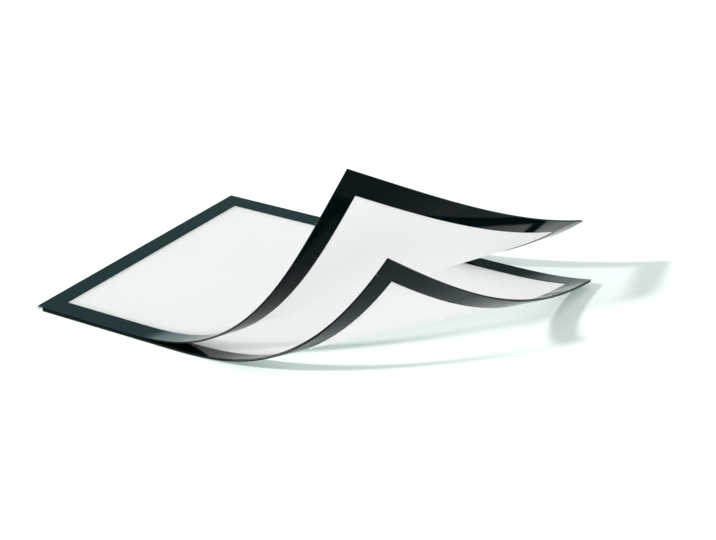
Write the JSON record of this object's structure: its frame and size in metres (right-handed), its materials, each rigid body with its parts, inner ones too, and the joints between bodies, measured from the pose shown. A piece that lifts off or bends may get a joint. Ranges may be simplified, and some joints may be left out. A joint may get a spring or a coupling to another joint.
{
  "type": "magnetic photo frame",
  "caption": "Flexible A4 photo frame with black magnetic borders: a frosted film cover hinged along a short edge to a matching back panel, shown curling open.",
  "frame": {"origin": "centre of the rear face of the magnet strip beside the hinge, on the plane that lies against the steel surface", "axes": "X from the hinge edge to the opening edge, Y along the hinge towards the far side, Z out of the surface that the frame is held on"},
  "size_m": [0.3229, 0.2406, 0.146],
  "materials": {
    "magnet_rubber": "satin",
    "border_skin": "gloss",
    "frosted_film": "satin",
    "fold_film": "gloss"
  },
  "bodies": {
    "back_panel": {"back_film": "frosted_film", "hinge_fold": "fold_film", "rear_magnet_left": "magnet_rubber", "rear_magnet_right": "magnet_rubber", "rear_magnet_near": "magnet_rubber", "rear_magnet_far": "magnet_rubber", "back_magnet_left": "magnet_rubber", "back_magnet_right": "magnet_rubber", "back_magnet_near": "magnet_rubber", "back_magnet_far": "magnet_rubber"},
    "front_cover": {"front_film": "frosted_film", "front_border_left": "border_skin", "front_border_right": "border_skin", "front_border_near": "border_skin", "front_border_far": "border_skin", "front_magnet_left": "magnet_rubber", "front_magnet_right": "magnet_rubber", "front_magnet_near": "magnet_rubber", "front_magnet_far": "magnet_rubber"}
  },
  "joints": [
    {"name": "cover_hinge", "type": "hinge", "parent": "back_panel", "child": "front_cover", "pos_m": [-0.00795, 0, 0.00185], "axis": [0, -1, 0], "range_deg": [0, 145], "deforming": ["hinge_fold"]}
  ]
}
